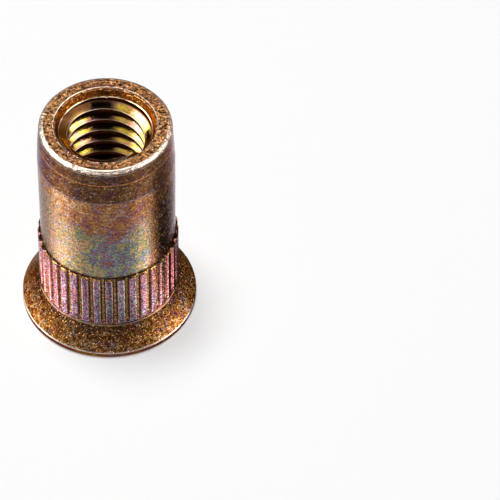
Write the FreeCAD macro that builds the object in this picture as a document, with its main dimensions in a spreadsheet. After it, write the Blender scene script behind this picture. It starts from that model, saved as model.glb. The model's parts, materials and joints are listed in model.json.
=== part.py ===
import FreeCAD, Part
import os
import math
import Sketcher

# Countersunk rivet nut with a ribbed shank, in millimetres.
# It stands on the face of its head: that face is z = 0 and the nut's own axis is Z.
# The screw comes in through the head, passes the thin-walled chamber that folds up
# when the nut is set, and meets the thread in the far end.

doc = FreeCAD.newDocument("rivet_nut")

driving_sizes = {
    # shank
    "body_diameter": 9.0,
    "overall_length": 16.5,
    # head, from its flat face up to the foot of the ribs
    "head_overhang": 1.22,
    "head_height": 1.95,
    "head_rim_height": 0.5,
    "head_edge_round": 0.12,
    # thin turned ring between the head and the ribs
    "ring_overhang": 0.07,
    "ring_thickness": 0.13,
    # ribbed band
    "rib_count": 36,
    "rib_height": 0.2,
    "rib_length": 4.35,
    "rib_bevel": 0.2,
    "furrow_floor_width": 0.15,
    "furrow_mouth_width": 0.4,
    "furrow_floor_lift": 0.015,
    "furrow_foot_length": 0.3,
    # nose, which narrows in two steps so that the nut starts easily in its hole
    "nose_length": 2.7,
    "nose_step_length": 1.1,
    "nose_first_drop": 0.08,
    "nose_second_drop": 0.11,
    "nose_edge_share": 0.32,      # of the end face's width
    # threaded end
    "thread_core_diameter": 5.0,
    "thread_length": 7.7,
    "relief_depth": 0.6,
    "relief_step": 0.55,
    "relief_flare": 0.2,
    "relief_mouth_chamfer": 0.12,
    # thin-walled chamber behind the head
    "chamber_wall": 1.15,
    "chamber_cone_length": 0.6,
    "chamber_mouth_chamfer": 0.25,
}

sheet = doc.addObject("Spreadsheet::Sheet", "sizes")
for row, (alias, value) in enumerate(driving_sizes.items(), start=1):
    sheet.set(f"A{row}", alias)
    sheet.set(f"B{row}", str(value))
    sheet.setAlias(f"B{row}", alias)
doc.recompute()

# Radii and heights that follow from the driving sizes
body_radius = "sizes.body_diameter / 2"
rib_radius = f"{body_radius} + sizes.rib_height"
ring_radius = f"{rib_radius} + sizes.ring_overhang"
head_radius = f"{rib_radius} + sizes.head_overhang"
nose_step_radius = f"{body_radius} - sizes.nose_first_drop"
nose_end_radius = f"{nose_step_radius} - sizes.nose_second_drop"
core_radius = "sizes.thread_core_diameter / 2"
relief_floor_radius = f"{core_radius} + sizes.relief_step"
relief_mouth_radius = f"{relief_floor_radius} + sizes.relief_flare"
mouth_radius = f"{relief_mouth_radius} + sizes.relief_mouth_chamfer"
nose_edge_round = f"({nose_end_radius} - ({mouth_radius})) * sizes.nose_edge_share"
chamber_radius = f"{body_radius} - sizes.chamber_wall"

ring_top = "sizes.head_height + sizes.ring_thickness"
rib_top = f"{ring_top} + sizes.rib_length"
bevel_top = f"{rib_top} + sizes.rib_bevel"
nut_end = "sizes.overall_length"
nose_start = f"{nut_end} - sizes.nose_length"
nose_step = f"{nut_end} - sizes.nose_step_length"
relief_floor = f"{nut_end} - sizes.relief_depth"
thread_start = f"{relief_floor} - sizes.thread_length"
chamber_end = f"{thread_start} - sizes.chamber_cone_length"

AXIS = "0"
HEAD_FACE = "0"


def origin_feature(body, role):
    """The origin plane or axis of a body that has the given role."""
    return next(item for item in body.Origin.OriginFeatures if item.Role == role)


def closed_outline(sketch, points):
    """Draw straight lines through the points and tie every corner to its expressions.

    A corner shares its predecessor's radius or height through a vertical or
    horizontal line, and has a dimension from the origin where it doesn't.
    """
    corner_count = len(points)
    # the first guess only has to be near: the expressions set the real places
    guess = [FreeCAD.Vector(size_of(across), size_of(along), 0) for across, along in points]
    for number in range(corner_count):
        line = Part.LineSegment(guess[number], guess[(number + 1) % corner_count])
        sketch.addGeometry(line, False)
    for number in range(corner_count):
        following = (number + 1) % corner_count
        sketch.addConstraint(Sketcher.Constraint("Coincident", number, 2, following, 1))
    for number, (across, along) in enumerate(points):
        previous_across, previous_along = points[number - 1]
        if number > 0 and across == previous_across:
            sketch.addConstraint(Sketcher.Constraint("Vertical", number - 1))
        else:
            tie_distance(sketch, "DistanceX", number, across)
        if number > 0 and along == previous_along:
            sketch.addConstraint(Sketcher.Constraint("Horizontal", number - 1))
        else:
            tie_distance(sketch, "DistanceY", number, along)


def size_of(expression):
    """The present value of an expression on the sheet."""
    return float(sheet.evalExpression(expression))


def tie_distance(sketch, kind, line, expression):
    """Dimension the start of a line from the sketch origin and bind it to the sheet."""
    start = Sketcher.Constraint(kind, -1, 1, line, 1, size_of(expression))
    index = sketch.addConstraint(start)
    sketch.setExpression(f"Constraints[{index}]", expression)


def section_sketch(body, name, points):
    """A closed section in the plane through the nut's axis: radius across, height up."""
    sketch = body.newObject("Sketcher::SketchObject", name)
    sketch.AttachmentSupport = (origin_feature(body, "XZ_Plane"), [""])
    sketch.MapMode = "FlatFace"
    closed_outline(sketch, points)
    return sketch


def turned_feature(body, kind, name, sketch):
    """A full turn of a section about the nut's axis, added or cut away."""
    feature = body.newObject(f"PartDesign::{kind}", name)
    feature.Profile = sketch
    feature.ReferenceAxis = (sketch, ["V_Axis"])
    feature.Angle = 360
    doc.recompute()
    return feature


def turned_blank(body):
    """The outside: head, ring, band for the ribs, shank and two-step nose."""
    outline = [
        (AXIS, HEAD_FACE),
        (head_radius, HEAD_FACE),
        (head_radius, "sizes.head_rim_height"),
        (ring_radius, "sizes.head_height"),
        (ring_radius, ring_top),
        (rib_radius, ring_top),
        (rib_radius, rib_top),
        (body_radius, bevel_top),
        (body_radius, nose_start),
        (nose_step_radius, nose_step),
        (nose_end_radius, nut_end),
        (AXIS, nut_end),
    ]
    sketch = section_sketch(body, "blank_section", outline)
    return turned_feature(body, "Revolution", "turned_blank", sketch)


def folding_chamber(body):
    """The wide bore behind the head, whose thin wall folds when the nut is set."""
    mouth_radius = f"{chamber_radius} + sizes.chamber_mouth_chamfer"
    outline = [
        (AXIS, HEAD_FACE),
        (mouth_radius, HEAD_FACE),
        (chamber_radius, "sizes.chamber_mouth_chamfer"),
        (chamber_radius, chamber_end),
        (core_radius, thread_start),
        (AXIS, thread_start),
    ]
    sketch = section_sketch(body, "chamber_section", outline)
    return turned_feature(body, "Groove", "folding_chamber", sketch)


def threaded_bore(body):
    """The thread's core, and the flared relief that ends it at the nose."""
    outline = [
        (AXIS, thread_start),
        (core_radius, thread_start),
        (core_radius, relief_floor),
        (relief_floor_radius, relief_floor),
        (relief_mouth_radius, f"{nut_end} - sizes.relief_mouth_chamfer"),
        (mouth_radius, nut_end),
        (AXIS, nut_end),
    ]
    sketch = section_sketch(body, "bore_section", outline)
    return turned_feature(body, "Groove", "threaded_bore", sketch)


def furrow_section(body, name, floor_radius, height):
    """The furrow between two ribs, cut across the nut at one height.

    Its sides lie in the same two planes at every height, so a raised floor is wider.
    """
    side_slope = "(sizes.furrow_mouth_width - sizes.furrow_floor_width) / 2 / sizes.rib_height"
    deep_floor = f"{body_radius} + sizes.furrow_floor_lift"
    outer_radius = f"{rib_radius} + 2 * sizes.ring_overhang"

    def half_width(radius):
        return f"sizes.furrow_floor_width / 2 + (({radius}) - ({deep_floor})) * {side_slope}"

    sketch = body.newObject("Sketcher::SketchObject", name)
    sketch.AttachmentSupport = (origin_feature(body, "XY_Plane"), [""])
    sketch.MapMode = "FlatFace"
    sketch.setExpression("AttachmentOffset.Base.z", height)
    outline = [
        (floor_radius, f"-({half_width(floor_radius)})"),
        (outer_radius, f"-({half_width(outer_radius)})"),
        (outer_radius, half_width(outer_radius)),
        (floor_radius, half_width(floor_radius)),
    ]
    closed_outline(sketch, outline)
    return sketch


def ribs(body):
    """Furrows cut into the band, evenly round the nut, which leave the ribs standing.

    Each runs out over the bevel at the top and rises to the surface at the ring.
    """
    deep_floor = f"{body_radius} + sizes.furrow_floor_lift"
    top = furrow_section(body, "furrow_top", deep_floor, f"{bevel_top} + sizes.rib_bevel")
    foot_start = f"{ring_top} + sizes.furrow_foot_length"
    foot = furrow_section(body, "furrow_foot", deep_floor, foot_start)
    tip = furrow_section(body, "furrow_tip", rib_radius, ring_top)
    furrow = body.newObject("PartDesign::SubtractiveLoft", "furrow")
    furrow.Profile = top
    furrow.Sections = [foot, tip]
    furrow.Ruled = True
    doc.recompute()
    pattern = body.newObject("PartDesign::PolarPattern", "furrows")
    pattern.Originals = [furrow]
    pattern.Axis = (origin_feature(body, "Z_Axis"), [""])
    pattern.Angle = 360
    pattern.setExpression("Occurrences", "sizes.rib_count")
    body.Tip = pattern
    doc.recompute()
    return pattern


def rounded_edge(body, name, base, radius, height, size):
    """Round the circular edge that lies at a given radius and height."""
    wanted_radius = size_of(radius)
    wanted_height = size_of(height)
    near = 1e-4
    edge_names = []
    for number, edge in enumerate(base.Shape.Edges, start=1):
        curve = edge.Curve
        if not isinstance(curve, Part.Circle):
            continue
        same_radius = math.isclose(curve.Radius, wanted_radius, abs_tol=near)
        if same_radius and math.isclose(curve.Center.z, wanted_height, abs_tol=near):
            edge_names.append(f"Edge{number}")
    fillet = body.newObject("PartDesign::Fillet", name)
    fillet.Base = (base, edge_names)
    fillet.setExpression("Radius", size)
    doc.recompute()
    return fillet


def rivet_nut():
    """The whole nut: one turned piece with its ribs."""
    body = doc.addObject("PartDesign::Body", "rivet_nut")
    body.Label = "rivet_nut"
    turned_blank(body)
    folding_chamber(body)
    shape = threaded_bore(body)
    shape = rounded_edge(body, "head_face_edge", shape, head_radius, HEAD_FACE,
                         "sizes.head_edge_round")
    shape = rounded_edge(body, "head_rim_edge", shape, head_radius,
                         "sizes.head_rim_height", "sizes.head_edge_round")
    rounded_edge(body, "nose_edge", shape, nose_end_radius, nut_end, nose_edge_round)
    ribs(body)
    body.Placement = FreeCAD.Placement()
    return body


def refuse_broken(parts):
    """Stop before anything is written if an object failed or a shape is unsound."""
    for item in doc.Objects:
        if "Invalid" in item.State or "Error" in item.State:
            raise RuntimeError(f"{item.Name} failed: {item.State}")
    for part in parts:
        if part.Shape.isNull() or not part.Shape.isValid():
            raise RuntimeError(f"{part.Label} has no sound shape")


nut = rivet_nut()
doc.recompute()
refuse_broken([nut])

os.makedirs("parts", exist_ok=True)
nut.Shape.exportStep(f"parts/{nut.Label}.step")
print(f"{nut.Label}: {nut.Shape.Volume:.2f} mm3, {len(nut.Shape.Faces)} faces")
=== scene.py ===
import json
import math
import bpy
from mathutils import Matrix, Vector


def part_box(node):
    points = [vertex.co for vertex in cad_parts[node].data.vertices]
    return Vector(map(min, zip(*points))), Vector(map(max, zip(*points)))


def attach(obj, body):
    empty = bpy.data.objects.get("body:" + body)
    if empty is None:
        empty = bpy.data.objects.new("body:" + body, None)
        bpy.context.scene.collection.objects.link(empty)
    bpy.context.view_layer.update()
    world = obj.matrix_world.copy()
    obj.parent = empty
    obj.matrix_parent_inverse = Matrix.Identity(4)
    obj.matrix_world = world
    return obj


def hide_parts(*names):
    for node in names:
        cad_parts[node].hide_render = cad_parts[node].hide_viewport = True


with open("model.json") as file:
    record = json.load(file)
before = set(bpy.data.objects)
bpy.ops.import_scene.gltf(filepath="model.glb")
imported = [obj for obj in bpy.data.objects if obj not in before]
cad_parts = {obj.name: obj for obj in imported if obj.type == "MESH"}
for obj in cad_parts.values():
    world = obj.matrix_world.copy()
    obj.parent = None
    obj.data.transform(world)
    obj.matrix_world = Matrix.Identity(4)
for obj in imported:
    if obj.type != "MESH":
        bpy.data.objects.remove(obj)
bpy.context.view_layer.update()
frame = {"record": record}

# Every size is in metres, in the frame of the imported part. The nut stands on its head, its axis is Z.
mm = 0.001
turn = 2 * math.pi
mounts = {mount["name"]: mount for mount in frame["record"]["mounts"]}
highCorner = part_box("rivet_nut")[1]


def mountRadius(name):
    return mounts[name]["dims"]["r_mm"] * mm


def mountSpan(name):
    # lowest and highest point of the mount's wall, along Z
    middle = mounts[name]["pos_m"][2]
    half = mounts[name]["dims"]["length_mm"] * mm / 2
    return middle - half, middle + half


def addPiece(name, data):
    piece = bpy.data.objects.new(name, data)
    bpy.context.scene.collection.objects.link(piece)
    return piece


def newMaterial(name):
    material = bpy.data.materials.new(name)
    material.use_nodes = True
    return material, material.node_tree


# Camera: where the photograph was taken from, worked out from the nut's own circles

cameraSetup = {
    "place": (9.505 * mm, -133.015 * mm, 155.981 * mm),
    "pitchDown": 48.68,      # degrees below the horizon, looking along +Y
    "roll": 1.611,           # degrees
    "turnAboutNut": 1.6,     # degrees, brings the ribs to where the photograph has them
    "lens": 215.9,           # mm, on a sensor 36 mm wide
    "sensor": 36.0,
}


def makeCamera(setup):
    pitch = math.radians(setup["pitchDown"])
    roll = math.radians(setup["roll"])
    forward = Vector((0, math.cos(pitch), -math.sin(pitch)))
    level = Vector((1, 0, 0))
    upright = level.cross(forward)
    right = math.cos(roll) * level + math.sin(roll) * upright
    up = math.cos(roll) * upright - math.sin(roll) * level
    aim = Matrix((right, up, -forward)).transposed().to_4x4()
    data = bpy.data.cameras.new("photoCamera")
    data.lens = setup["lens"]
    data.sensor_width = setup["sensor"]
    data.sensor_fit = "HORIZONTAL"
    data.clip_start = 0.005
    data.clip_end = 10
    camera = addPiece("photoCamera", data)
    swing = Matrix.Rotation(math.radians(setup["turnAboutNut"]), 4, "Z")
    camera.matrix_world = swing @ Matrix.Translation(setup["place"]) @ aim
    bpy.context.scene.camera = camera


makeCamera(cameraSetup)
print("camera placed")


# Small helpers for node trees

def addNode(tree, kind, inputs=None, **settings):
    # settings are the node's own properties; inputs are values or sockets, by name or number
    node = tree.nodes.new(kind)
    for name, value in settings.items():
        setattr(node, name, value)
    for name, value in (inputs or {}).items():
        socket = node.inputs[name]
        if isinstance(value, bpy.types.NodeSocket):
            tree.links.new(value, socket)
        else:
            socket.default_value = value
    return node


def treeOf(*values):
    # the node tree that the sockets among the values belong to
    return next(value.id_data for value in values if isinstance(value, bpy.types.NodeSocket))


def calc(operation, first, second=0.0, third=0.0, clamp=False):
    node = addNode(treeOf(first, second), "ShaderNodeMath", {
        0: first, 1: second, 2: third}, operation=operation)
    node.use_clamp = clamp
    return node.outputs[0]


def inTurn(operation, values):
    # one operation over all the values, from left to right
    result = values[0]
    for value in values[1:]:
        result = calc(operation, result, value)
    return result


def total(*values):
    return inTurn("ADD", values)


def times(*values):
    return inTurn("MULTIPLY", values)


def minus(first, second):
    return calc("SUBTRACT", first, second)


def over(first, second):
    return calc("DIVIDE", first, second)


def unsigned(value):
    return calc("ABSOLUTE", value)


def greater(first, second):
    return calc("MAXIMUM", first, second)


def mapRange(value, fromMin, fromMax, toMin=0.0, toMax=1.0, smooth=False):
    node = addNode(value.id_data, "ShaderNodeMapRange", {
        "Value": value, "From Min": fromMin, "From Max": fromMax, "To Min": toMin, "To Max": toMax})
    node.interpolation_type = "SMOOTHSTEP" if smooth else "LINEAR"
    return node.outputs["Result"]


def scaled(vector, amount):
    return addNode(vector.id_data, "ShaderNodeVectorMath", {
        0: vector, "Scale": amount}, operation="SCALE").outputs[0]


def connect(tree, values, inputs):
    for name, value in values.items():
        tree.links.new(value, inputs[name])


def addSockets(tree, inputs, outputs):
    # each input's name with its default value, or its type where it has none; each output's with its type
    for name, value in inputs.items():
        kind = value if isinstance(value, str) else {int: "Int", float: "Float"}[type(value)]
        socket = tree.interface.new_socket(name, in_out="INPUT", socket_type="NodeSocket" + kind)
        if kind != value:
            socket.default_value = value
    for name, kind in outputs.items():
        tree.interface.new_socket(name, in_out="OUTPUT", socket_type="NodeSocket" + kind)


# The nut's section: what a lathe would cut, as corners with their roundings

nutShape = {
    "headRadius": highCorner.x,
    "length": highCorner.z,
    "headRim": 0.5 * mm,
    "headHeight": 1.95 * mm,
    "headEdgeRound": 0.15 * mm,
    "ringRadius": 4.77 * mm,
    "ringTop": 2.08 * mm,
    "ribRadius": 4.7 * mm,
    "ribTop": 6.43 * mm,
    "noseStepRadius": 4.42 * mm,
    "noseStepHeight": 15.4 * mm,
    "noseEndRadius": 4.31 * mm,
    "noseEdgeRound": 0.3 * mm,
    "mouthRadius": 3.37 * mm,
    "reliefMouthRadius": 3.25 * mm,
    "reliefMouthChamfer": 0.12 * mm,
    "reliefFloorRadius": 3.05 * mm,
    "chamberMouthChamfer": 0.25 * mm,
    "headWear": 0.45,
    "sharpRound": 0.025 * mm,        # what plating leaves of a sharp corner
    "holdingRow": 0.03 * mm,         # a row this near each rounding keeps the wall beside it flat
    "rowGap": 0.3 * mm,              # rows no further apart than this on long walls
    "ribRowGap": 0.24 * mm,
}

# The furrows between the ribs, and the thread

ribShape = {
    "count": 36,
    "floorRadius": 4.515 * mm,
    "floorWidth": 0.15 * mm,
    "mouthWidth": 0.4 * mm,
    "footLength": 0.3 * mm,
    "edgeBevel": 0.38,               # degrees round the nut, each side of a rib's edge
    "unevenness": 0.012 * mm,
}

threadShape = {
    "pitch": 1.0 * mm,
    "rootRadius": 3.0 * mm,
    "top": mountSpan("thread")[1],
    "rootHeight": 15.44 * mm,       # where the middle of the groove crosses the +X side
    "rootFlat": 0.125,               # shares of the pitch
    "crestFlat": 0.25,
    "cornerSoftness": 0.03,
    "runOutFrom": 100.0,             # degrees from the back, clockwise, where the first crest dies out
    "leadFrom": -110.0,              # and where part of the first turn is rougher and painted darker as shade
    "leadTo": -22.0,
    "leadDepth": 0.27,
    "crestWear": 0.6,
    "cutFade": 0.08 * mm,            # how softly the relief cuts the first crest
    "flatFade": 0.05,                # a share of the pitch
    "lipHeight": 0.05 * mm,          # a burr that the tap raised round the top of the thread
    "lipFrom": -75.0,
    "lipTo": 22.0,
    "beadPlace": -3.0,
    "beadSize": 0.12 * mm,
    "beadReach": 2.6,
}

finishes = ["headFace", "rim", "cone", "ring", "ribs", "ribEnds", "shank", "endFace", "relief", "thread",
            "chamber"]


def sectionCorners(shape):
    # (radius, height, rounding, arc steps, finish of the wall that follows, row gap)
    shankRadius = mountRadius("shank")
    shankLow, shankHigh = mountSpan("shank")
    chamberRadius = mountRadius("chamber")
    chamberHigh = mountSpan("chamber")[1]
    coreRadius = mountRadius("thread")
    threadLow, threadHigh = mountSpan("thread")
    tiny = shape["sharpRound"]
    wide = shape["rowGap"]
    length = shape["length"]
    return [
        (chamberRadius + shape["chamberMouthChamfer"], 0, tiny, 2, "headFace", 2 * wide),
        (shape["headRadius"], 0, shape["headEdgeRound"], 5, "rim", wide),
        (shape["headRadius"], shape["headRim"], shape["headEdgeRound"], 4, "cone", 0.15 * mm),
        (shape["ringRadius"], shape["headHeight"], 0, 0, "ring", wide),
        (shape["ringRadius"], shape["ringTop"], tiny, 3, "ring", wide),
        (shape["ribRadius"], shape["ringTop"], 0.05 * mm, 3, "ribs", shape["ribRowGap"]),
        (shape["ribRadius"], shape["ribTop"], tiny, 2, "ribEnds", 0.06 * mm),
        (shankRadius, shankLow, 0, 0, "shank", wide),
        (shankRadius, shankHigh, 0.6 * mm, 2, "shank", wide),
        (shape["noseStepRadius"], shape["noseStepHeight"], 0.6 * mm, 2, "shank", 0.2 * mm),
        (shape["noseEndRadius"], length, shape["noseEdgeRound"], 6, "endFace", 0.12 * mm),
        (shape["mouthRadius"], length, tiny, 2, "endFace", wide),
        (shape["reliefMouthRadius"], length - shape["reliefMouthChamfer"], tiny, 2, "relief", 0.2 * mm),
        (shape["reliefFloorRadius"], threadShape["top"] + 0.08 * mm, 0, 0, "relief", 0.15 * mm),
        (shape["reliefFloorRadius"], threadShape["top"] + 0.03 * mm, 0, 0, "lip", 0.15 * mm),
        (coreRadius, threadHigh, None, 0, "thread", wide),
        (coreRadius, threadLow, 0, 0, "chamber", 0.2 * mm),
        (chamberRadius, chamberHigh, 0.1 * mm, 3, "chamber", 4 * wide),
        (chamberRadius, shape["chamberMouthChamfer"], tiny, 2, "chamber", wide),
    ]


def angleTurned(before, corner, after):
    return math.degrees((corner - before).angle(after - corner))


def roundedCorner(before, corner, after, radius, steps):
    # points of the arc that replaces a corner, tangent to both walls
    toBefore = (before - corner).normalized()
    toAfter = (after - corner).normalized()
    halfAngle = toBefore.angle(toAfter) / 2
    reach = radius / math.tan(halfAngle)
    centre = corner + (toBefore + toAfter).normalized() * (radius / math.sin(halfAngle))
    start = corner + toBefore * reach - centre
    end = corner + toAfter * reach - centre
    sweep = start.angle_signed(end)
    points = []
    for step in range(steps + 1):
        angle = -sweep * step / steps
        spoke = Vector((start.x * math.cos(angle) - start.y * math.sin(angle),
                        start.x * math.sin(angle) + start.y * math.cos(angle)))
        points.append(centre + spoke)
    return points


def threadRows(thread, low):
    # heights of the rows that follow the thread: one more turn than shows, so that the ends can be cut flat
    pitch = thread["pitch"]
    high = thread["top"]
    root = thread["rootFlat"] / 2
    crest = (1 - thread["crestFlat"]) / 2
    soft = thread["cornerSoftness"]
    rising = [root, root + soft, (root + crest) / 2, crest - soft, crest]
    falling = [1 - share for share in rising] + [1 - crest - soft]
    phases = sorted(rising + falling, reverse=True)
    first = math.ceil((high - thread["rootHeight"]) / pitch)
    last = math.floor((low - pitch - thread["rootHeight"]) / pitch)
    rows = []
    for number in range(first, last - 1, -1):
        rows += [thread["rootHeight"] + (number + share) * pitch for share in phases]
    return rows


def sectionRows(shape, thread):
    # every row of the nut's wall: radius, height, finish, how worn, whether it follows the thread
    corners = sectionCorners(shape)
    count = len(corners)
    threadLow = mountSpan("thread")[0]
    coreRadius = mountRadius("thread")
    rows = []
    for number, (radius, height, rounding, steps, finish, gap) in enumerate(corners):
        here = Vector((radius, height))
        before = Vector(corners[number - 1][:2])
        after = Vector(corners[(number + 1) % count][:2])
        if finish == "lip":
            rows.append((radius, height, "relief", 1.0, -1.0))
            continue
        if finish == "thread":
            rows += [(coreRadius, row, "thread", 0.0, 1.0) for row in threadRows(thread, threadLow)]
            continue
        if rounding:
            arc = roundedCorner(before, here, after, rounding, steps)
            convex = (here - before).cross(after - here) > 0
        else:
            arc = [here]
            convex = False
        worn = 0.0
        if convex and angleTurned(before, here, after) > 20:
            worn = shape["headWear"] if finish in ("rim", "cone") else 1.0
        arcFinish = finish if convex or not rows else rows[-1][2]
        rows += [(point.x, point.y, arcFinish, worn, 0.0) for point in arc[:-1]]
        rows.append((arc[-1].x, arc[-1].y, finish, worn, 0.0))
        # rows along the wall that follows, up to where the next corner's arc starts
        nextRounding, nextSteps = corners[(number + 1) % count][2:4]
        wallEnd = after
        if nextRounding:
            beyond = Vector(corners[(number + 2) % count][:2])
            wallEnd = roundedCorner(here, after, beyond, nextRounding, nextSteps)[0]
        wall = wallEnd - arc[-1]
        hold = shape["holdingRow"] / wall.length
        pieces = max(1, math.ceil(wall.length / gap))
        shares = [piece / pieces for piece in range(1, pieces)]
        if hold < 0.2:
            shares = [hold] + shares + [1 - hold]
        rows += [(*(arc[-1] + wall * share), finish, 0.0, 0.0) for share in shares]
    return rows


def sectionMesh(rows):
    mesh = bpy.data.meshes.new("nutSection")
    mesh.from_pydata([(radius, 0, height) for radius, height, *rest in rows], [], [])
    columns = {
        "finish": ("INT", [finishes.index(row[2]) for row in rows]),
        "worn": ("FLOAT", [row[3] for row in rows]),
        "threaded": ("FLOAT", [row[4] for row in rows]),
    }
    for name, (kind, values) in columns.items():
        mesh.attributes.new(name, kind, "POINT").data.foreach_set("value", values)
    return mesh


def columnOffsets(rib):
    # where the columns of one rib and its furrow stand, as shares of the rib pitch
    pitch = 360 / rib["count"]
    floorEdge = math.degrees(math.asin(rib["floorWidth"] / 2 / rib["floorRadius"]))
    mouthEdge = math.degrees(math.asin(rib["mouthWidth"] / 2 / nutShape["ribRadius"]))
    bevel = rib["edgeBevel"]
    flank = [floorEdge, floorEdge + bevel, mouthEdge - bevel / 2, mouthEdge + bevel * 1.6]
    land = [pitch * 0.4, pitch * 0.6]
    degrees = [-floorEdge] + flank + land + [pitch - angle for angle in reversed(flank[1:])]
    return [angle / pitch for angle in degrees], floorEdge / pitch, mouthEdge / pitch


def nutTree(rib, thread, materials):
    # turns the section about Z, cuts the furrows and winds the thread
    tree = bpy.data.node_groups.new("rivetNutForm", "GeometryNodeTree")
    addSockets(tree, {
        "Section": "Geometry",
        "Rib Count": rib["count"],
        "Rib Radius": nutShape["ribRadius"],
        "Furrow Floor Radius": rib["floorRadius"],
        "Furrow Foot": nutShape["ringTop"],
        "Furrow Foot Length": rib["footLength"],
        "Rib Unevenness": rib["unevenness"],
        "Thread Pitch": thread["pitch"],
        "Thread Root Radius": thread["rootRadius"],
        "Thread Core Radius": mountRadius("thread"),
        "Thread Low": mountSpan("thread")[0],
        "Thread Top": thread["top"],
        "Thread Root Height": thread["rootHeight"],
        "Seed": 3.0,
    }, {"Nut": "Geometry"})
    given = tree.nodes.new("NodeGroupInput").outputs
    pitch = given["Thread Pitch"]
    rootRadius = given["Thread Root Radius"]
    rootHeight = given["Thread Root Height"]
    ribRadius = given["Rib Radius"]
    floorRadius = given["Furrow Floor Radius"]
    offsets, floorEdge, mouthEdge = columnOffsets(rib)
    columnsPerRib = len(offsets)

    def groupOf(value, size):
        # which group of that size a number falls in
        return calc("FLOOR", over(total(value, 0.5), size))

    def fromSection(value, kind, rowNumber):
        sample = {"Geometry": given["Section"], "Value": value, "Index": rowNumber}
        return addNode(tree, "GeometryNodeSampleIndex", sample, data_type=kind).outputs["Value"]

    def named(name, kind="FLOAT"):
        return addNode(tree, "GeometryNodeInputNamedAttribute", {"Name": name}, data_type=kind).outputs[0]

    def isFinish(finish, name):
        return addNode(tree, "FunctionNodeCompare", {2: finish, 3: finishes.index(name)},
                       data_type="INT", operation="EQUAL").outputs[0]

    def choose(switch, plain, other):
        return addNode(tree, "GeometryNodeSwitch", {"Switch": switch, "False": plain, "True": other},
                       input_type="FLOAT").outputs[0]

    # a flat grid with one row for each point of the section and one column for each line along the nut
    rowCount = addNode(tree, "GeometryNodeAttributeDomainSize", {"Geometry": given["Section"]},
                       component="MESH").outputs["Point Count"]
    columnCount = times(given["Rib Count"], columnsPerRib)
    columnLines = total(columnCount, 1)
    geometry = addNode(tree, "GeometryNodeMeshGrid", {
        "Size X": 1.0, "Size Y": 1.0, "Vertices X": total(rowCount, 1),
        "Vertices Y": columnLines}).outputs["Mesh"]
    index = tree.nodes.new("GeometryNodeInputIndex").outputs[0]
    row = groupOf(index, columnLines)
    column = minus(index, times(row, columnLines))
    sectionRow = calc("FLOORED_MODULO", row, rowCount)
    place = tree.nodes.new("GeometryNodeInputPosition").outputs[0]
    sectionPlace = addNode(tree, "ShaderNodeSeparateXYZ", {0: fromSection(place, "FLOAT_VECTOR", sectionRow)})
    radius = sectionPlace.outputs["X"]
    height = sectionPlace.outputs["Z"]
    threaded = fromSection(named("threaded"), "FLOAT", sectionRow)
    worn = fromSection(named("worn"), "FLOAT", sectionRow)

    # the column's angle: which rib, and where on it
    ribNumber = groupOf(column, columnsPerRib)
    switch = addNode(tree, "GeometryNodeIndexSwitch", data_type="FLOAT")
    while len(switch.index_switch_items) < columnsPerRib:
        switch.index_switch_items.new()
    columnInRib = minus(column, times(ribNumber, columnsPerRib))
    tree.links.new(columnInRib, switch.inputs["Index"])
    for number, share in enumerate(offsets):
        switch.inputs[number + 1].default_value = share
    offset = switch.outputs[0]
    ribPitch = over(turn, given["Rib Count"])
    angle = times(total(ribNumber, offset), ribPitch)
    fromBack = calc("WRAP", minus(turn / 4, angle), turn / 2, -turn / 2)

    def around(start, end, low=0.0, high=1.0):
        # changes between two directions, given in degrees from the back
        return mapRange(fromBack, math.radians(start), math.radians(end), low, high)

    # thread rows climb one pitch in a turn and are cut flat at both ends
    climb = times(over(angle, turn), pitch)
    climbed = total(height, climb)
    cut = calc("MINIMUM", greater(climbed, given["Thread Low"]), given["Thread Top"])
    aboveRoot = minus(minus(cut, climb), rootHeight)
    phase = calc("FRACT", over(aboveRoot, pitch))
    fromRoot = minus(0.5, unsigned(minus(phase, 0.5)))
    rootEdge = thread["rootFlat"] / 2
    crestEdge = (1 - thread["crestFlat"]) / 2
    profile = mapRange(fromRoot, rootEdge, crestEdge, rootRadius, given["Thread Core Radius"])
    # the relief took the first crest away above the groove, round to where it dies out
    backTurns = over(minus(turn / 4, fromBack), turn)
    grooveLine = total(rootHeight, times(backTurns, pitch))
    stays = total(grooveLine, around(thread["runOutFrom"], 180, 0.0, pitch))
    removed = mapRange(minus(cut, stays), 0.0, thread["cutFade"], smooth=True)
    threadRadius = total(profile, times(minus(rootRadius, profile), removed))
    # the upper edge of each crest is rubbed to a bright line
    fromEdge = unsigned(minus(phase, 1 - crestEdge))
    crestWear = times(mapRange(fromEdge, 0.0, thread["cornerSoftness"], thread["crestWear"], 0.0),
                      minus(1.0, removed))
    # flats of the thread are rougher than its sides and painted darker as shade, and so is part of the first
    # turn
    offFlat = calc("MINIMUM", mapRange(fromRoot, rootEdge, rootEdge + thread["flatFade"]),
                   mapRange(fromRoot, crestEdge, crestEdge - thread["flatFade"]))
    inFirst = mapRange(minus(grooveLine, cut), times(pitch, thread["leadDepth"] + 0.08),
                       times(pitch, thread["leadDepth"]))
    inFirstTurnShade = times(around(thread["leadFrom"], thread["leadFrom"] + 10),
                   around(thread["leadTo"], thread["leadTo"] - 8))
    dull = greater(minus(1.0, offFlat), times(inFirst, inFirstTurnShade))

    # furrows: the wall is no further out than the furrow's floor or side
    shareOff = unsigned(minus(offset, calc("ROUND", offset)))
    side = mapRange(shareOff, floorEdge, mouthEdge, floorRadius, ribRadius)
    upFoot = over(minus(height, given["Furrow Foot"]), given["Furrow Foot Length"])
    furrowWall = greater(side, mapRange(upFoot, 0.0, 1.0, ribRadius, floorRadius))
    finish = fromSection(named("finish", "INT"), "INT", sectionRow)
    isRib = greater(isFinish(finish, "ribs"), isFinish(finish, "ribEnds"))
    plainRadius = choose(isRib, radius, calc("MINIMUM", radius, furrowWall))
    furrow = times(mapRange(plainRadius, ribRadius, floorRadius), isRib)

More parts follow.
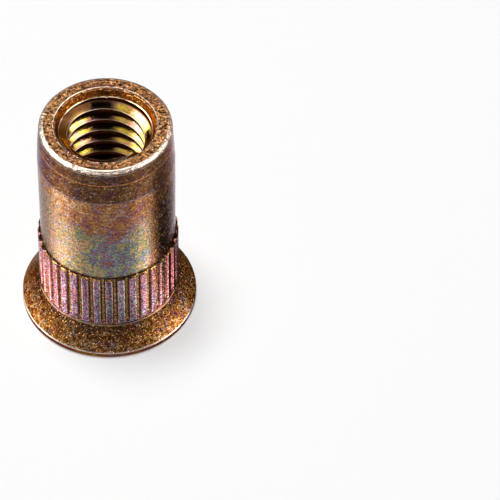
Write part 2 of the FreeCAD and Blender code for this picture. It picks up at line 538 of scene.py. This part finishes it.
    # the lip stands inwards from its row, where the tap left it, with a bead at the thread's start
    lip = times(around(thread["lipFrom"], thread["lipFrom"] + 8),
                around(thread["lipTo"] - 5, thread["lipTo"], 1.0, 0.0), thread["lipHeight"])
    fromBead = unsigned(minus(fromBack, math.radians(thread["beadPlace"])))
    bead = mapRange(fromBead, 0.0, math.radians(thread["beadReach"]), 1.0, 0.0, smooth=True)
    lip = total(lip, times(bead, thread["beadSize"]))
    isLip = calc("LESS_THAN", threaded, -0.5)
    plainRadius = minus(plainRadius, times(lip, isLip))
    isThread = calc("GREATER_THAN", threaded, 0.5)
    worn = total(worn, times(crestWear, isThread))
    wallRadius = choose(isThread, plainRadius, threadRadius)
    spot = addNode(tree, "ShaderNodeCombineXYZ", {
        "X": times(wallRadius, calc("COSINE", angle)),
        "Y": times(wallRadius, calc("SINE", angle)),
        "Z": choose(isThread, height, cut)}).outputs[0]

    def then(kind, inputs, **settings):
        # the mesh goes through one more step
        nonlocal geometry
        step = addNode(tree, "GeometryNode" + kind, {"Geometry": geometry, **inputs}, **settings)
        geometry = step.outputs[0]

    # what the materials need to know about each point and face
    for name, value in (("worn", worn), ("furrow", furrow), ("dull", dull)):
        then("StoreNamedAttribute", {"Name": name, "Value": value}, data_type="FLOAT", domain="POINT")
    faceRow = calc("FLOORED_MODULO", groupOf(index, columnCount), rowCount)
    faceFinish = fromSection(named("finish", "INT"), "INT", faceRow)
    then("StoreNamedAttribute", {"Name": "finish", "Value": faceFinish}, data_type="INT", domain="FACE")
    then("SetPosition", {"Position": spot})

    # ribs aren't quite straight or even: the knurling wheel leaves them a little wavy
    wave = addNode(tree, "ShaderNodeTexNoise", {
        "Scale": 900.0, "Detail": 2.0, "W": given["Seed"]}, noise_dimensions="4D").outputs[0]
    shove = times(minus(wave, 0.75), isRib, given["Rib Unevenness"])
    outward = addNode(tree, "ShaderNodeVectorMath", {0: spot, 1: (1, 1, 0)}, operation="MULTIPLY").outputs[0]
    outward = addNode(tree, "ShaderNodeVectorMath", {0: outward}, operation="NORMALIZE").outputs[0]
    then("SetPosition", {"Offset": scaled(outward, shove)})

    # close the seam and the section, drop the rows that the thread's flat ends squeezed to nothing
    then("MergeByDistance", {"Distance": 0.001 * mm})
    then("SetShadeSmooth", {"Shade Smooth": True}, domain="FACE")
    edgeAngle = tree.nodes.new("GeometryNodeInputMeshEdgeAngle").outputs["Unsigned Angle"]
    sharp = calc("GREATER_THAN", edgeAngle, math.radians(40))
    then("SetShadeSmooth", {"Selection": sharp, "Shade Smooth": False}, domain="EDGE")
    then("RealizeInstances", {})
    for name in finishes:
        chosen = isFinish(named("finish", "INT"), name)
        then("SetMaterial", {"Selection": chosen, "Material": materials[name]})
    connect(tree, {"Nut": geometry}, tree.nodes.new("NodeGroupOutput").inputs)
    return tree


def bakeTree(source, tree, name):
    # the evaluated result becomes a plain mesh of its own
    modifier = source.modifiers.new("form", "NODES")
    modifier.node_group = tree
    for item in tree.interface.items_tree:
        if item.item_type == "SOCKET" and item.in_out == "INPUT" and item.socket_type != "NodeSocketGeometry":
            modifier[item.identifier] = item.default_value
    depsgraph = bpy.context.evaluated_depsgraph_get()
    mesh = bpy.data.meshes.new_from_object(source.evaluated_get(depsgraph), depsgraph=depsgraph)
    mesh.name = name
    bpy.data.objects.remove(source)
    return addPiece(name, mesh)


def buildNut(materials):
    section = addPiece("nutSection", sectionMesh(sectionRows(nutShape, threadShape)))
    return bakeTree(section, nutTree(ribShape, threadShape, materials), "rivetNutBody")


# Effects that the finishes share: each is a shader group, built once

def newGroup(name, inputs, outputs):
    tree = bpy.data.node_groups.new(name, "ShaderNodeTree")
    addSockets(tree, inputs, outputs)
    return tree, tree.nodes.new("NodeGroupInput").outputs, tree.nodes.new("NodeGroupOutput").inputs


def noise(vector, scale, detail=2.0, roughness=0.5, distortion=0.0):
    return addNode(vector.id_data, "ShaderNodeTexNoise", {
        "Vector": vector, "Scale": scale, "Detail": detail, "Roughness": roughness,
        "Distortion": distortion}).outputs[0]


def centred(value, amount):
    # noise hovers round a half; this makes it hover round nought
    return times(minus(value, 0.5), amount)


def stretched(vector, scale, turned=(0, 0, 0)):
    return addNode(vector.id_data, "ShaderNodeMapping", {
        "Vector": vector, "Rotation": turned, "Scale": scale}).outputs[0]


def distanceTo(vector, place):
    return addNode(vector.id_data, "ShaderNodeVectorMath", {
        0: vector, 1: place}, operation="DISTANCE").outputs["Value"]


def fromMesh(tree, name):
    return addNode(tree, "ShaderNodeAttribute", attribute_name=name).outputs["Fac"]


def mixValue(factor, first, second):
    return addNode(factor.id_data, "ShaderNodeMix", {
        0: factor, 2: first, 3: second}, data_type="FLOAT").outputs[0]


def mixColor(factor, first, second):
    return addNode(factor.id_data, "ShaderNodeMix", {
        0: factor, 6: first, 7: second}, data_type="RGBA").outputs[2]


def makeAroundAxis():
    # millimetres, unrolled: rings stay rings, however fine they are
    tree, given, result = newGroup("aroundAxis", {"Vector": "Vector"}, {
        "Rings": "Vector", "Height": "Float", "Radius": "Float", "Side": "Float"})
    place = addNode(tree, "ShaderNodeSeparateXYZ", {0: given["Vector"]}).outputs
    squares = total(times(place["X"], place["X"]), times(place["Y"], place["Y"]))
    radius = calc("SQRT", squares)
    flat = addNode(tree, "ShaderNodeCombineXYZ", {
        "X": over(place["X"], radius), "Y": over(place["Y"], radius),
        "Z": total(place["Z"], times(radius, 1.618))}).outputs[0]
    side = calc("ARCTAN2", place["X"], times(place["Y"], -1))
    connect(tree, {"Rings": flat, "Height": place["Z"], "Radius": radius, "Side": side}, result)
    return tree


filmColors = [    # how the passivated zinc tints its shine as its film thickens, from pale gold round to rose
    (0.00, (0.38, 0.25, 0.19)),
    (0.09, (0.35, 0.22, 0.12)),
    (0.19, (0.31, 0.16, 0.062)),
    (0.30, (0.25, 0.11, 0.036)),
    (0.41, (0.20, 0.075, 0.05)),
    (0.51, (0.17, 0.065, 0.10)),
    (0.60, (0.145, 0.105, 0.15)),
    (0.70, (0.115, 0.145, 0.16)),
    (0.80, (0.16, 0.165, 0.08)),
    (0.90, (0.28, 0.20, 0.065)),
    (1.00, (0.33, 0.17, 0.15)),
]


def makePassivate():
    # the film: thick and thin in drifts, mottled, with rings left by the rinse water
    tree, given, result = newGroup("passivateFilm", {
        "Vector": "Vector", "Rings": "Vector", "Thickness": 0.4, "Drift": 0.35, "Mottle": 0.3,
        "Mottle Scale": 1.0, "Ring Streaks": 0.15, "Rinse Marks": 0.5, "Brightness": 1.0, "Speck": 1.5,
        "Saturation": 1.0}, {"Color": "Color"})
    vector = given["Vector"]
    fineScale = times(given["Mottle Scale"], 4.0)
    streaks = stretched(given["Rings"], (2.2, 2.2, 2.6))
    film = total(
        given["Thickness"],
        centred(noise(vector, 0.22, 2.0), given["Drift"]),
        centred(noise(vector, given["Mottle Scale"], 3.0, 0.6, 0.4), given["Mottle"]),
        centred(noise(vector, fineScale, 2.0, 0.7), times(given["Mottle"], given["Speck"])),
        centred(noise(streaks, 1.0, 4.0, 0.65), given["Ring Streaks"]))
    ramp = addNode(tree, "ShaderNodeValToRGB", {0: calc("PINGPONG", film, 1.0)})
    ramp.color_ramp.interpolation = "EASE"
    while len(ramp.color_ramp.elements) < len(filmColors):
        ramp.color_ramp.elements.new(0.5)
    for element, (position, color) in zip(ramp.color_ramp.elements, filmColors):
        element.position = position
        element.color = (*color, 1)
    shift = addNode(tree, "ShaderNodeTexNoise", {"Vector": vector, "Scale": 1.3}).outputs["Color"]
    bent = addNode(tree, "ShaderNodeVectorMath", {0: vector, 1: shift}, operation="ADD").outputs[0]
    cells = addNode(tree, "ShaderNodeTexVoronoi", {"Vector": bent, "Scale": 0.75},
                    feature="DISTANCE_TO_EDGE").outputs["Distance"]
    line = mapRange(cells, 0.01, 0.045, 1.0, 0.0, smooth=True)
    broken = mapRange(noise(vector, 0.9, 2.0), 0.44, 0.56, 0.0, 1.0, smooth=True)
    strong = addNode(tree, "ShaderNodeHueSaturation", {
        "Saturation": given["Saturation"], "Color": ramp.outputs[0]}).outputs[0]
    marked = mixColor(times(line, broken, given["Rinse Marks"]), strong, tints["rinse"])
    connect(tree, {"Color": scaled(marked, given["Brightness"])}, result)
    return tree


def makeToolMarks():
    # what the lathe, the die and the barrel left: fine rings, grain and scratches, as a height
    tree, given, result = newGroup("toolMarks", {
        "Vector": "Vector", "Rings": "Vector", "Ring Lines": 0.3, "Grain": 0.5, "Grain Scale": 5.0,
        "Scratches": 0.3}, {"Height": "Float", "Scratch": "Float", "Grain": "Float"})
    vector = given["Vector"]
    close = stretched(given["Rings"], (3.0, 3.0, 9.0))
    grit = noise(vector, given["Grain Scale"], 3.0, 0.6, 0.2)
    parts = []
    for turned, across in (((0.3, 0.2, 0.5), 5.0), ((1.1, 0.4, 1.9), 4.0), ((0.2, 1.2, 2.6), 6.0)):
        slanted = stretched(vector, (0.22, across, across), turned)
        parts.append(mapRange(noise(slanted, 1.0, 2.0, 0.6, 0.3), 0.66, 0.72))
    scratch = greater(parts[0], greater(parts[1], parts[2]))
    marks = total(centred(noise(close, 1.0, 3.0, 0.7), given["Ring Lines"]),
                  centred(grit, given["Grain"]),
                  times(scratch, times(given["Scratches"], -1)))
    shown = times(scratch, given["Scratches"])
    connect(tree, {"Height": marks, "Scratch": shown, "Grain": grit}, result)
    return tree


def makeEdgeWear():
    # rubbed edges: bright, broken up by noise
    tree, given, result = newGroup("edgeWear", {"Vector": "Vector", "Amount": 0.6}, {"Mask": "Float"})
    ragged = mapRange(noise(given["Vector"], 2.4, 3.0, 0.6), 0.2, 0.45)
    connect(tree, {"Mask": times(fromMesh(tree, "worn"), ragged, given["Amount"])}, result)
    return tree


# Colours of single marks, of painted highlights and of painted shade, and where those stand that have a place
# of their own, in mm
tints = {
    "rinse": (0.21, 0.2, 0.24, 1),
    "scratch": (0.42, 0.32, 0.26, 1),
    # painted lines round the nose, dark at the taper and bright at the step, and painted shade on the nose
    "taper": (0.13, 0.115, 0.13, 1),
    "step": (0.40, 0.16, 0.06, 1),
    "nose": (0.0, 0.0, 0.0, 1),
    # a painted dark line on the lower half of the end's rounded edge
    "endStain": (0.015, 0.008, 0.007, 1),
    # painted shade in the thread: on its flats and on the first flank's left
    "threadFlat": (0.09, 0.03, 0.008, 1),
    "firstFlank": (0.035, 0.015, 0.005, 1),
    # painted shade on the rib ends, with a painted highlight dash
    "ribEnd": (0.03, 0.014, 0.006, 1),
    "ribEndDash": (0.55, 0.25, 0.07, 1),
    # a painted dark reflection on the ribs past the right
    "ribShade": (0.02, 0.004, 0.001, 1),
    "furrowSide": (0.17, 0.042, 0.045, 1),
    "furrowFloor": (0.13, 0.10, 0.022, 1),
    # a painted highlight where each furrow ends, and a line round each rib that is partly rub wear and partly
    # painted highlight
    "furrowFoot": (0.8, 0.5, 0.12, 1),
    "ribBorder": (0.48, 0.27, 0.25, 1),
}
places = {
    "patch": (0.55, -4.45, 4.3),      # on the body, low at the front; its height counts half
    "nick": (-1.75, -3.7, 16.4),
    "taper": 13.8,
    "step": 15.4,
    "ribTop": 6.41,
    "ribEndDash": 6.49,
    "furrowFoot": 2.25,
}

aroundAxis = makeAroundAxis()
passivateFilm = makePassivate()
toolMarks = makeToolMarks()
edgeWear = makeEdgeWear()

# One entry for each finish: what its film, its marks, its wear and its painted sparkle and glints are like
plainFinish = {
    "thickness": 0.4, "drift": 0.5, "mottle": 0.8, "mottleScale": 1.3, "ringStreaks": 0.3,
    "rinseMarks": 0.6, "speck": 1.2, "sparkle": 0.15, "glints": 0.0, "saturation": 1.1,
    "brightness": 1.0, "ringLines": 0.35, "grain": 0.7, "grainScale": 5.0, "scratches": 0.25, "relief": 0.05,
    "wear": 0.95, "wornColor": (0.80, 0.66, 0.56, 1), "roughness": 0.13, "roughnessSpread": 0.08,
    "edgeTint": (0.46, 0.42, 0.46, 1), "glintColor": (0.95, 0.62, 0.42, 1),
}
finishValues = {
    "headFace": {"brightness": 1.3, "ringLines": 0.6},
    "rim": {"thickness": 0.40, "brightness": 0.6, "roughness": 0.2, "saturation": 1.2},
    "cone": {"thickness": 0.23, "drift": 0.45, "mottle": 0.95, "mottleScale": 1.7, "glints": 0.5,
             "saturation": 1.14, "grain": 1.4, "grainScale": 5.6, "relief": 0.1, "brightness": 0.35,
             "sparkle": 0.7, "edgeTint": (0.38, 0.29, 0.22, 1), "ringStreaks": 0.1, "ringLines": 0.1,
             "glintColor": (0.95, 0.44, 0.24, 1)},
    "ring": {"thickness": 0.25, "brightness": 0.5, "grain": 0.3, "roughness": 0.2, "wear": 0.1},
    "ribs": {"thickness": 0.61, "mottle": 0.55, "mottleScale": 1.9, "grain": 0.9, "grainScale": 8.0,
             "ringLines": 0.05, "brightness": 0.92, "roughness": 0.17, "wear": 0.3, "glints": 0.4,
             "sparkle": 0.7, "saturation": 1.0},
    "ribEnds": {"thickness": 0.24, "mottle": 0.4, "brightness": 1.8, "roughness": 0.18, "wear": 0.2},
    "shank": {"drift": 0.3, "mottle": 0.9, "speck": 1.0, "scratches": 0.5, "ringLines": 0.5, "grain": 0.8,
              "grainScale": 8.0, "relief": 0.03, "rinseMarks": 0.8, "sparkle": 0.42, "roughness": 0.12,
              "glints": 0.28, "brightness": 0.95, "saturation": 1.02},
    "endFace": {"thickness": 0.27, "mottle": 0.5, "mottleScale": 3.0, "grain": 1.4, "grainScale": 4.8,
                "relief": 0.17, "brightness": 1.02, "roughness": 0.15, "ringLines": 0.1, "rinseMarks": 0.2,
                "sparkle": 0.8, "glints": 0.3, "saturation": 1.0},
    "relief": {"thickness": 0.25, "mottle": 0.4, "brightness": 1.2, "roughness": 0.2, "ringLines": 0.5,
               "relief": 0.035, "sparkle": 0.5, "edgeTint": (0.42, 0.26, 0.12, 1), "rinseMarks": 0.0,
               "drift": 0.1},
    "thread": {"thickness": 0.94, "mottle": 0.35, "mottleScale": 0.8, "drift": 0.3, "brightness": 1.38,
               "saturation": 1.2, "ringLines": 0.5, "grain": 0.2, "roughness": 0.07, "roughnessSpread": 0.04,
               "rinseMarks": 0.0, "relief": 0.012, "speck": 0.5, "edgeTint": (0.42, 0.33, 0.22, 1),
               "flatRoughness": 0.4},
    "chamber": {"thickness": 0.3, "brightness": 1.6, "ringLines": 0.5, "roughness": 0.3},
}


def ringLine(height, level, width):
    # a soft line round the nut at one height, in mm
    away = unsigned(minus(height, level))
    return mapRange(away, width, width * 0.3, 0.0, 1.0, smooth=True)


# How the finishes are coloured that differ from place to place. Heights and radii are in mm, and the wall's
# side is an angle, 0 at the front and positive to the right

def colorShank(vector, wall, values, filmOf):
    # two drifts: orange to violet above; below, blue-green at the front and rosy gold towards the sides.
    # Past the front's right, and at the back, the film stays thin and orange
    height = wall["Height"]
    degrees = calc("DEGREES", wall["Side"])
    aside = unsigned(degrees)
    onNose = mapRange(height, places["taper"] - 0.05, places["taper"] + 0.05)
    upper = total(mapRange(height, 13.0, 9.5, 0.32, 0.52), mapRange(degrees, -45.0, 20.0, -0.15, 0.02))
    away = greater(mapRange(degrees, 40.0, 48.0, smooth=True), mapRange(aside, 100.0, 160.0, smooth=True))
    upper = mixValue(away, mixValue(onNose, upper, 0.3), 0.27)
    ragged = total(distanceTo(stretched(vector, (1, 1, 0.5)), places["patch"]),
                   centred(noise(vector, 0.7, 4.0, 0.6), 3.2))
    lower = mapRange(ragged, 0.45, 3.2, 0.66, 0.96)
    fromMiddle = unsigned(minus(degrees, 5.0))
    border = total(height, times(fromMiddle, -0.035), centred(noise(vector, 0.6, 4.0, 0.65), 4.5))
    below = times(mapRange(border, 10.9, 9.6, 0.0, 1.0, smooth=True), minus(1.0, away))
    color = mixColor(below, filmOf(upper), filmOf(lower))
    # the nose tapers in two steps: it is painted darker as shade, most at the front, and a painted line
    # runs round it at each: dark at the taper, bright at the step
    nose = times(onNose, mapRange(aside, 15.0, 32.0, 0.63, 0.5))
    color = mixColor(nose, color, tints["nose"])
    for line, width, strength in (("taper", 0.09, 0.7), ("step", 0.07, 0.75)):
        shows = times(ringLine(height, places[line], width), strength)
        color = mixColor(shows, color, tints[line])
    return color


def colorRibs(vector, wall, values, filmOf):
    # violet at the front, redder towards the sides
    height = wall["Height"]
    side = wall["Side"]
    thickness = values["thickness"]
    color = filmOf(mapRange(unsigned(side), 0.35, 1.05, thickness, thickness - 0.22))
    # each rib is rubbed in streaks along it; past the right the ribs are painted dark, as a painted dark
    # reflection
    upright = stretched(vector, (5, 5, 0.35))
    color = scaled(color, mapRange(noise(upright, 1.0, 2.0), 0.36, 0.64, 0.5, 1.4))
    rightShade = times(mapRange(side, 0.8, 1.1, 0.0, 0.88, smooth=True),
                   mapRange(side, 2.5, 1.8, smooth=True))
    color = mixColor(rightShade, color, tints["ribShade"])
    # furrows are rosy on their sides and olive on their floors
    furrow = fromMesh(vector.id_data, "furrow")
    floor = mapRange(furrow, 0.75, 0.97)
    color = mixColor(times(mapRange(furrow, 0.02, 0.3), 0.85), color, tints["furrowSide"])
    color = mixColor(times(floor, 0.9), color, tints["furrowFloor"])
    # a line borders each rib, partly rub wear and partly a painted edge highlight, and a painted highlight
    # sits where each furrow ends
    edging = times(mapRange(furrow, 0.0, 0.03), mapRange(furrow, 0.22, 0.1))
    top = times(ringLine(height, places["ribTop"], 0.05), mapRange(furrow, 0.1, 0.0))
    color = mixColor(times(greater(edging, top), 0.45), color, tints["ribBorder"])
    foot = times(floor, mapRange(height, places["furrowFoot"] + 0.17, places["furrowFoot"]))
    return mixColor(times(foot, 0.9), color, tints["furrowFoot"])


def colorRibEnds(vector, wall, values, filmOf):
    # painted shade: dark all over, but for a painted highlight dash in the middle of each
    dash = times(ringLine(wall["Height"], places["ribEndDash"], 0.05),
                 mapRange(noise(vector, 1.5, 2.0), 0.4, 0.55))
    return mixColor(dash, tints["ribEnd"], tints["ribEndDash"])


def colorEndFace(vector, wall, values, filmOf):
    # painted shade: the lower half of the rounded edge is painted as a near-black line
    edgeShadeLine = mapRange(wall["Height"], 16.33, 16.28, 0.0, 0.95)
    return mixColor(edgeShadeLine, filmOf(values["thickness"]), tints["endStain"])


def wearAndHighlightEndFace(vector, wall, worn):
    # the rounded edge's rub wear, which is also its painted highlight: only the upper half is rubbed,
    # less at the back and right; the nick is not
    side = wall["Side"]
    behind = times(mapRange(unsigned(side), 1.4, 1.9), mapRange(wall["Radius"], 3.7, 3.9))
    rubbedAndLit = times(mapRange(wall["Height"], 16.30, 16.36), minus(1.0, times(behind, 0.85)))
    nick = mapRange(distanceTo(vector, places["nick"]), 0.1, 0.2, 0.2, 1.0)
    return times(worn, rubbedAndLit, mapRange(side, 0.2, 0.9, 1.0, 0.6), nick)


def colorCone(vector, wall, values, filmOf):
    # painted light and shade: darker near the ribs and at the front, brighter near the rim and brighter still
    # on the right
    side = wall["Side"]
    paintedLightAndShade = times(mapRange(wall["Radius"], 4.8, 5.6, 0.45, 1.25),
                  mapRange(unsigned(side), 0.2, 0.9, 0.72, 0.95), mapRange(side, 0.4, 1.0, 1.0, 1.85))
    return scaled(filmOf(values["thickness"]), paintedLightAndShade)


def colorRelief(vector, wall, values, filmOf):
    # painted light and shade: the wall is brighter on its back left and, more so, on its back right, and
    # darker at the very back
    side = wall["Side"]
    paintedLightAndShade = total(1.0, mapRange(side, 1.6, 2.3, 0.0, 2.2, smooth=True),
                  mapRange(side, -1.6, -2.2, 0.0, 1.0, smooth=True))
    middle = mapRange(unsigned(side), 2.6, 3.0, 1.0, 0.4, smooth=True)
    return scaled(filmOf(values["thickness"]), times(paintedLightAndShade, middle))


def colorThread(vector, wall, values, filmOf):
    # painted shade: flats and part of the first turn are painted darker, and the first flank is painted
    # darker still on its left
    side = wall["Side"]
    dull = times(fromMesh(vector.id_data, "dull"), 0.9)
    color = mixColor(dull, filmOf(values["thickness"]), tints["threadFlat"])
    left = times(mapRange(side, -3.05, -2.8), mapRange(side, -1.8, -2.1))
    leftFlankShade = times(mapRange(wall["Height"], 14.85, 15.1), left)
    leftFlankShade = times(leftFlankShade, mapRange(noise(vector, 1.2, 3.0), 0.3, 0.6, 1.0, 0.65))
    return mixColor(leftFlankShade, color, tints["firstFlank"])


colorings = {
    "shank": colorShank, "ribs": colorRibs, "ribEnds": colorRibEnds, "endFace": colorEndFace,
    "cone": colorCone, "relief": colorRelief, "thread": colorThread,
}


def makeFinish(name):
    values = {**plainFinish, **finishValues[name]}
    material, tree = newMaterial("yellowZinc" + name[0].upper() + name[1:])
    shader = tree.nodes["Principled BSDF"]
    coordinates = tree.nodes.new("ShaderNodeTexCoord").outputs["Object"]
    vector = stretched(coordinates, (1000, 1000, 1000))
    wall = addNode(tree, "ShaderNodeGroup", {"Vector": vector}, node_tree=aroundAxis).outputs
    rings = wall["Rings"]

    def filmOf(thickness):
        return addNode(tree, "ShaderNodeGroup", {
            "Vector": vector, "Rings": rings, "Thickness": thickness, "Drift": values["drift"],
            "Mottle": values["mottle"], "Mottle Scale": values["mottleScale"],
            "Ring Streaks": values["ringStreaks"], "Rinse Marks": values["rinseMarks"],
            "Brightness": values["brightness"], "Speck": values["speck"],
            "Saturation": values["saturation"]}, node_tree=passivateFilm).outputs[0]

    marks = addNode(tree, "ShaderNodeGroup", {
        "Vector": vector, "Rings": rings, "Ring Lines": values["ringLines"], "Grain": values["grain"],
        "Grain Scale": values["grainScale"], "Scratches": values["scratches"]}, node_tree=toolMarks).outputs
    worn = addNode(tree, "ShaderNodeGroup", {
        "Vector": vector, "Amount": values["wear"]}, node_tree=edgeWear).outputs[0]
    if name == "endFace":
        worn = wearAndHighlightEndFace(vector, wall, worn)
    if name in colorings:
        color = colorings[name](vector, wall, values, filmOf)
    else:
        color = filmOf(values["thickness"])

    # painted sparkle and glints: the colour is lightened and darkened with the grain, and bright specks of
    # the glint colour are mixed in
    sparkle = values["sparkle"]
    gleam = mapRange(marks["Grain"], 0.36, 0.64, 1 - sparkle, 1 + sparkle * 1.4)
    glint = mapRange(noise(vector, 8.5, 1.0), 0.64, 0.71, 0.0, values["glints"])
    color = mixColor(glint, scaled(color, gleam), values["glintColor"])
    color = mixColor(times(marks["Scratch"], 0.6), color, tints["scratch"])
    color = mixColor(worn, color, values["wornColor"])

    roughness = values["roughness"]
    if name == "thread":
        roughness = mapRange(fromMesh(tree, "dull"), 0.0, 1.0, roughness, values["flatRoughness"])
    spread = centred(noise(vector, 1.6, 3.0), values["roughnessSpread"])
    rough = calc("ADD", spread, roughness, clamp=True)
    rough = times(rough, mapRange(worn, 0.0, 1.0, 1.0, 1.7))
    shader.inputs["Metallic"].default_value = 1
    shader.inputs["Specular Tint"].default_value = values["edgeTint"]
    height = times(marks["Height"], mapRange(worn, 0.0, 0.8, 1.0, 0.15))
    bump = addNode(tree, "ShaderNodeBump", {
        "Height": height, "Strength": 1.0, "Distance": values["relief"] * mm}).outputs[0]
    connect(tree, {"Base Color": color, "Roughness": rough, "Normal": bump}, shader.inputs)
    return material


materials = {name: makeFinish(name) for name in finishes}
print("finishes made:", len(materials))
nut = buildNut(materials)
print("nut built:", len(nut.data.vertices), "points,", len(nut.data.polygons), "faces")


# Studio: a pale floor, soft boxes that only the metal mirrors and a key lamp that lights the floor

studio = {
    "floorSize": 3.0,
    "floorColor": (0.93, 0.93, 0.93, 1),
    "floorGlow": 0.42,           # how much of the floor's white is its own
    "roomDark": 0.06,
    "roomHorizon": 0.8,
}
# place, width, depth, radiance, and what it lights: metal shows the soft boxes, the floor takes the key lamp
softBoxes = {
    "softBoxLeft": ((-0.31, -0.01, 0.27), 0.36, 0.235, 8.0, "metal"),
    "softBoxFill": ((-0.14, -0.06, 0.38), 0.26, 0.12, 1.6, "metal"),
    "softBoxRight": ((0.30, 0.01, 0.27), 0.32, 0.22, 8.0, "metal"),
    "backBox": ((0.0, 0.185, 0.365), 0.44, 0.16, 3.4, "metal"),
    "frontStrip": ((0.0, -0.31, 0.265), 0.40, 0.05, 5.0, "metal"),
    "keyLamp": ((-0.063, 0.046, 0.53), 0.17, 0.17, 33.5, "floor"),
}
# What the upright walls mirror: how bright the floor is in each direction round the nut, in three bands by
# how far off it lies. Directions are degrees round the wall, 0 at the front, positive to the right. The
# levels were tuned towards the brightness that the wall has in the photograph; it isn't met all over.
sheen = {
    "height": 0.3 * mm,
    "step": 2,
    "nearest": 6.05 * mm,
    "bands": ((0.0, "near"), (4.3, "near"), (5.3, "middle"), (12.6, "middle"), (14.4, "far"), (26.0, "far")),
    "near": ((-90, 1.4), (-70, 2.3), (-60, 4.2), (-50, 8.6), (-36, 8.8), (-29, 2.6), (-20, 1.3), (22, 1.1),
             (28, 2.4), (36, 7.0), (50, 7.0), (55, 1.2), (59, 0.1), (90, 0.05)),
    "middle": ((-90, 1.2), (-76, 1.4), (-62, 1.5), (-54, 1.7), (-49, 3.5), (-44, 4.0), (-37, 3.5), (-32, 1.6),
               (-28, 1.0), (-12, 0.82), (20, 0.8), (27, 0.95), (32, 2.2), (39, 3.3), (42, 0.4), (45, 0.03),
               (65, 0.03), (71, 0.3), (77, 1.3), (90, 1.6)),
    "far": ((-90, 1.0), (-64, 1.9), (-44, 2.0), (-32, 1.3), (-20, 0.85), (-14, 0.64), (24, 0.68), (36, 1.9),
            (42, 0.8), (47, 0.3), (57, 0.9), (68, 2.0), (80, 2.5), (90, 2.5)),
}


def flatMesh(name, corners, height=0.0):
    mesh = bpy.data.meshes.new(name)
    mesh.from_pydata([(x, y, height) for x, y in corners], [], [tuple(range(len(corners)))])
    return mesh


def makeFloor(setup):
    half = setup["floorSize"] / 2
    floor = addPiece("studioFloor", flatMesh("studioFloor", (
        (-half, -half), (half, -half), (half, half), (-half, half))))
    material, tree = newMaterial("paleFloor")
    shader = tree.nodes["Principled BSDF"]
    shader.inputs["Base Color"].default_value = setup["floorColor"]
    shader.inputs["Roughness"].default_value = 0.8
    shader.inputs["Specular IOR Level"].default_value = 0.0
    # to the camera and in reflections the floor is partly white by itself; the rest keeps the shadow
    path = tree.nodes.new("ShaderNodeLightPath").outputs
    seen = greater(path["Is Camera Ray"], greater(path["Is Glossy Ray"], path["Is Transmission Ray"]))
    share = times(seen, setup["floorGlow"])
    glow = addNode(tree, "ShaderNodeEmission", {"Color": (1, 1, 1, 1), "Strength": 1.0}).outputs[0]
    blend = addNode(tree, "ShaderNodeMixShader", {0: share, 1: shader.outputs[0], 2: glow})
    tree.links.new(blend.outputs[0], tree.nodes["Material Output"].inputs["Surface"])
    floor.data.materials.append(material)
    return floor


def makeLamp(name, place, width, depth, radiance, lights):
    data = bpy.data.lights.new(name, "AREA")
    data.shape = "RECTANGLE"
    data.size = width
    data.size_y = depth
    data.energy = radiance * math.pi * width * depth
    lamp = addPiece(name, data)
    lamp.location = place
    lamp.rotation_euler = (-Vector(place)).to_track_quat("-Z", "Y").to_euler()
    lamp.visible_camera = False
    lamp.visible_diffuse = lights == "floor"
    lamp.visible_glossy = lights == "metal"
    return lamp


def levelAt(stops, place):
    # straight lines between the stops
    for (left, low), (right, high) in zip(stops, stops[1:]):
        if place <= right:
            return low + (high - low) * (place - left) / (right - left)
    return stops[-1][1]


def makeSheen(setup):
    # a fan of light on the floor that only the metal mirrors: each line runs the way that one strip of the
    # wall reflects the camera's view, so a strip is equally bright all the way up
    wall = mountRadius("shank")
    swing = cameraSetup["turnAboutNut"]
    points = []
    levels = []
    directions = range(-90, 91, setup["step"])
    for direction in directions:
        angle = math.radians(direction)
        aside = wall * math.sin(angle)
        reachStart = -wall * math.cos(angle) + math.sqrt(setup["nearest"] ** 2 - aside ** 2)
        start = Matrix.Rotation(angle + math.radians(swing), 2) @ Vector((0, -wall))
        along = Matrix.Rotation(2 * angle + math.radians(swing), 2) @ Vector((0, -1))
        for reach, band in setup["bands"]:
            spot = start + along * max(reach * mm, reachStart)
            points.append((spot.x, spot.y, setup["height"]))
            levels.append(levelAt(setup[band], direction))
    bandCount = len(setup["bands"])
    faces = []
    for line in range(len(directions) - 1):
        for band in range(bandCount - 1):
            corner = line * bandCount + band
            faces.append((corner, corner + 1, corner + bandCount + 1, corner + bandCount))
    mesh = bpy.data.meshes.new("floorSheen")
    mesh.from_pydata(points, [], faces)
    mesh.attributes.new("glow", "FLOAT", "POINT").data.foreach_set("value", levels)
    fan = addPiece("floorSheen", mesh)
    fan.visible_camera = False
    fan.visible_diffuse = False
    fan.visible_shadow = False
    fan.visible_transmission = False
    material, tree = newMaterial("floorSheen")
    material.cycles.emission_sampling = "NONE"
    light = addNode(tree, "ShaderNodeEmission", {"Color": (1, 1, 1, 1), "Strength": fromMesh(tree, "glow")})
    tree.links.new(light.outputs[0], tree.nodes["Material Output"].inputs["Surface"])
    mesh.materials.append(material)
    return fan


def makeRoom(setup):
    # dark overhead and behind the camera, white low at the back and sides
    world = bpy.data.worlds.new("studioRoom")
    world.use_nodes = True
    bpy.context.scene.world = world
    tree = world.node_tree
    direction = tree.nodes.new("ShaderNodeTexCoord").outputs["Generated"]
    parts = addNode(tree, "ShaderNodeSeparateXYZ", {0: direction}).outputs
    low = mapRange(parts["Z"], 0.12, 0.4, 1.0, 0.0, smooth=True)
    behind = mapRange(parts["Y"], -0.5, 0.1, 0.0, 1.0, smooth=True)
    level = mapRange(times(low, behind), 0.0, 1.0, setup["roomDark"], setup["roomHorizon"])
    tree.links.new(level, tree.nodes["Background"].inputs["Strength"])


makeFloor(studio)
makeSheen(sheen)
for name, (place, width, depth, radiance, lights) in softBoxes.items():
    makeLamp(name, place, width, depth, radiance, lights)
makeRoom(studio)
bpy.context.scene.view_settings.view_transform = "Standard"
print("studio ready")

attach(nut, "root")
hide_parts("rivet_nut")
